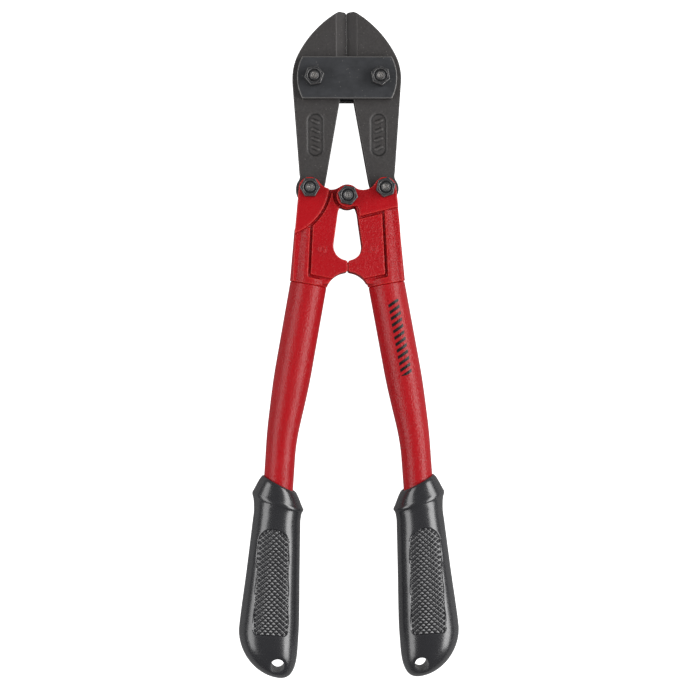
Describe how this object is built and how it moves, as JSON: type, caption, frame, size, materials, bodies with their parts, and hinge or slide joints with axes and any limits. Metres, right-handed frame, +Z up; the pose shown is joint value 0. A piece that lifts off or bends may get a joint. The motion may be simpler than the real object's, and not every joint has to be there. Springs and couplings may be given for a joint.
{
  "type": "bolt cutters",
  "caption": "Compound-lever bolt cutters with centre-cut jaws, linked cast handle arms, bent tube handles and knurled black grips.",
  "frame": {"origin": "centre of the bounding box at its bottom, on the surface the tool lies on", "axes": "+X across the tool, to the right with the nut side up; +Y from the grips to the jaw tips; +Z up from the surface, along every pivot"},
  "size_m": [0.119, 0.3601, 0.0295],
  "materials": {
    "jaw_steel": "forged alloy steel, blasted, black oxide, satin",
    "plate_steel": "rolled steel plate, black oxide, satin",
    "fastener_steel": "black-plated steel, matt to semi-gloss",
    "casting_red": "cast steel, glossy red powder coat",
    "tube_red": "drawn steel tube, glossy red powder coat",
    "grip_pvc": "dipped and moulded PVC, glossy black, knurled palm panels"
  },
  "bodies": {
    "head": {"front_head_plate": "plate_steel", "rear_head_plate": "plate_steel", "left_head_bolt": "fastener_steel", "right_head_bolt": "fastener_steel", "left_head_nut": "fastener_steel", "right_head_nut": "fastener_steel"},
    "left_jaw": {"left_jaw": "jaw_steel"},
    "right_jaw": {"right_jaw": "jaw_steel"},
    "left_handle": {"left_handle_casting": "casting_red", "left_handle_tube": "tube_red", "left_grip": "grip_pvc", "left_link_bolt": "fastener_steel", "left_link_nut": "fastener_steel"},
    "right_handle": {"right_handle_casting": "casting_red", "right_handle_tube": "tube_red", "right_grip": "grip_pvc", "right_link_bolt": "fastener_steel", "right_link_nut": "fastener_steel", "centre_bolt": "fastener_steel", "centre_nut": "fastener_steel"}
  },
  "joints": [
    {"name": "left_jaw_pivot", "type": "hinge", "parent": "head", "child": "left_jaw", "pos_m": [-0.01765, 0.1439, 0.014], "axis": [0, 0, 1], "range_deg": [0, 7.2]},
    {"name": "right_jaw_pivot", "type": "hinge", "parent": "head", "child": "right_jaw", "pos_m": [0.01765, 0.1439, 0.014], "axis": [0, 0, -1], "range_deg": [0, 7.2]},
    {"name": "left_handle_pivot", "type": "hinge", "parent": "left_jaw", "child": "left_handle", "pos_m": [-0.02015, 0.0844, 0.014], "axis": [0, 0, -1], "range_deg": [0, 50]},
    {"name": "right_handle_pivot", "type": "hinge", "parent": "right_jaw", "child": "right_handle", "pos_m": [0.02015, 0.0844, 0.014], "axis": [0, 0, 1], "range_deg": [0, 50.2]}
  ],
  "couplings": [
    {"joint": "right_handle_pivot", "follows": "left_handle_pivot", "ratio": 1},
    {"joint": "left_jaw_pivot", "follows": "left_handle_pivot", "ratio": 0.143},
    {"joint": "right_jaw_pivot", "follows": "left_handle_pivot", "ratio": 0.143}
  ]
}
